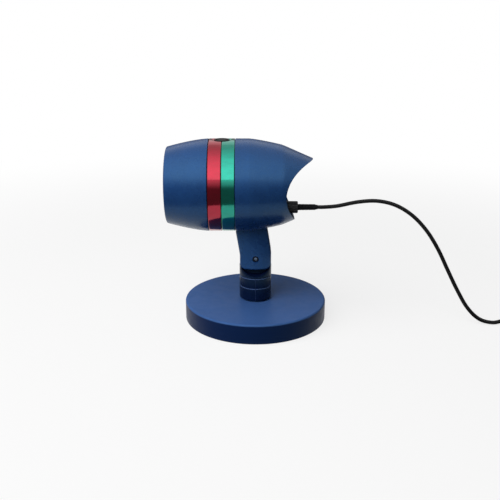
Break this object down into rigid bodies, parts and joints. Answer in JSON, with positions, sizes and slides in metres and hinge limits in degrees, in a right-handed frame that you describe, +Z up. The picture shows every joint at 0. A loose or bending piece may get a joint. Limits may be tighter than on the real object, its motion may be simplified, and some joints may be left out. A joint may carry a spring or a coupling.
{
  "type": "laser star projector",
  "caption": "Barrel-shaped laser light projector with two tinted rings, on a tilting neck whose screw post threads into a round stand, with a mains lead.",
  "frame": {"origin": "centre of the stand's underside, where it rests", "axes": "+Z up out of the stand, -X along the beam, +X towards the rear where the lead leaves, -Y towards the side with the pivot bolt's head"},
  "size_m": [0.5794, 0.1871, 0.2152],
  "materials": {
    "blue_plastic": "satin",
    "stand_plastic": "satin",
    "navy_plastic": "satin",
    "red_tinted_plastic": "glossy, tinted",
    "green_tinted_plastic": "glossy, tinted",
    "black_plastic": "satin",
    "black_rubber": "matte",
    "cord_jacket": "satin",
    "clear_glass": "polished",
    "smoked_lens": "polished",
    "zinc_steel": "zinc plated",
    "ballast_steel": "raw, oiled",
    "brass": "machined",
    "aluminium": "machined",
    "stud_plastic": "satin",
    "circuit_board": "solder mask",
    "circuit_parts": "matte",
    "foot_foam": "closed-cell foam",
    "photocell": "lacquered"
  },
  "bodies": {
    "base": {"base_cover": "stand_plastic", "base_plate": "navy_plastic", "ballast_disc": "ballast_steel", "foot_pad": "foot_foam", "base_screw_1": "zinc_steel", "base_screw_2": "zinc_steel", "base_screw_3": "zinc_steel", "lamp_lead": "cord_jacket", "coupling_plug": "black_rubber", "coupling_ring": "black_plastic", "coupling_socket": "black_rubber", "supply_lead": "cord_jacket", "supply_coil": "cord_jacket", "coil_tie_1": "black_rubber", "coil_tie_2": "black_rubber", "adapter_relief": "black_rubber", "adapter_body": "black_plastic", "adapter_blade_1": "brass", "adapter_blade_2": "brass"},
    "washer": {"stud_washer": "black_rubber"},
    "knuckle": {"knuckle": "navy_plastic", "grip_collar": "navy_plastic", "threaded_stud": "stud_plastic", "pivot_bush": "zinc_steel"},
    "head": {"board_capacitor": "circuit_parts", "board_connector": "circuit_parts", "cable_gland": "black_plastic", "carrier_screw_1": "zinc_steel", "carrier_screw_2": "zinc_steel", "chassis": "black_plastic", "diffraction_grating": "clear_glass", "driver_board": "circuit_board", "friction_washer_left": "black_plastic", "friction_washer_right": "black_plastic", "front_shell": "blue_plastic", "front_window": "clear_glass", "gland_nut": "black_plastic", "grating_plate": "black_plastic", "green_laser_module": "brass", "green_ring": "green_tinted_plastic", "housing_left": "blue_plastic", "housing_right": "blue_plastic", "housing_screw_1": "zinc_steel", "housing_screw_2": "zinc_steel", "housing_screw_3": "zinc_steel", "laser_carrier": "aluminium", "mode_switch": "circuit_parts", "optic_hood": "black_plastic", "photocell": "photocell", "pivot_bolt": "zinc_steel", "pivot_nut": "zinc_steel", "rear_panel": "navy_plastic", "red_laser_module": "brass", "red_ring": "red_tinted_plastic", "sensor_holder": "black_plastic", "sensor_lens": "smoked_lens", "strain_relief": "black_rubber", "window_seal": "black_rubber", "wiring_loom": "cord_jacket"},
    "button": {"power_button": "black_plastic"}
  },
  "joints": [
    {"name": "head_lift", "type": "slide", "parent": "base", "child": "washer", "axis": [0, 0, 1], "range_m": [0, 0.0139]},
    {"name": "head_turn", "type": "hinge", "parent": "washer", "child": "knuckle", "pos_m": [0, 0, 0.0258], "axis": [0, 0, 1], "range_deg": [0, 2160]},
    {"name": "head_tilt", "type": "hinge", "parent": "knuckle", "child": "head", "pos_m": [0, 0, 0.0769], "axis": [0, 1, 0], "range_deg": [-30, 45], "deforming": ["lamp_lead"]},
    {"name": "power_button", "type": "slide", "parent": "head", "child": "button", "axis": [-1, 0, 0], "range_m": [0, 0.0012], "stiffness_N_per_m": 1500, "springref_m": -0.0004}
  ],
  "couplings": [
    {"joint": "head_lift", "follows": "head_turn", "m_per_rad": 0.00036606}
  ]
}
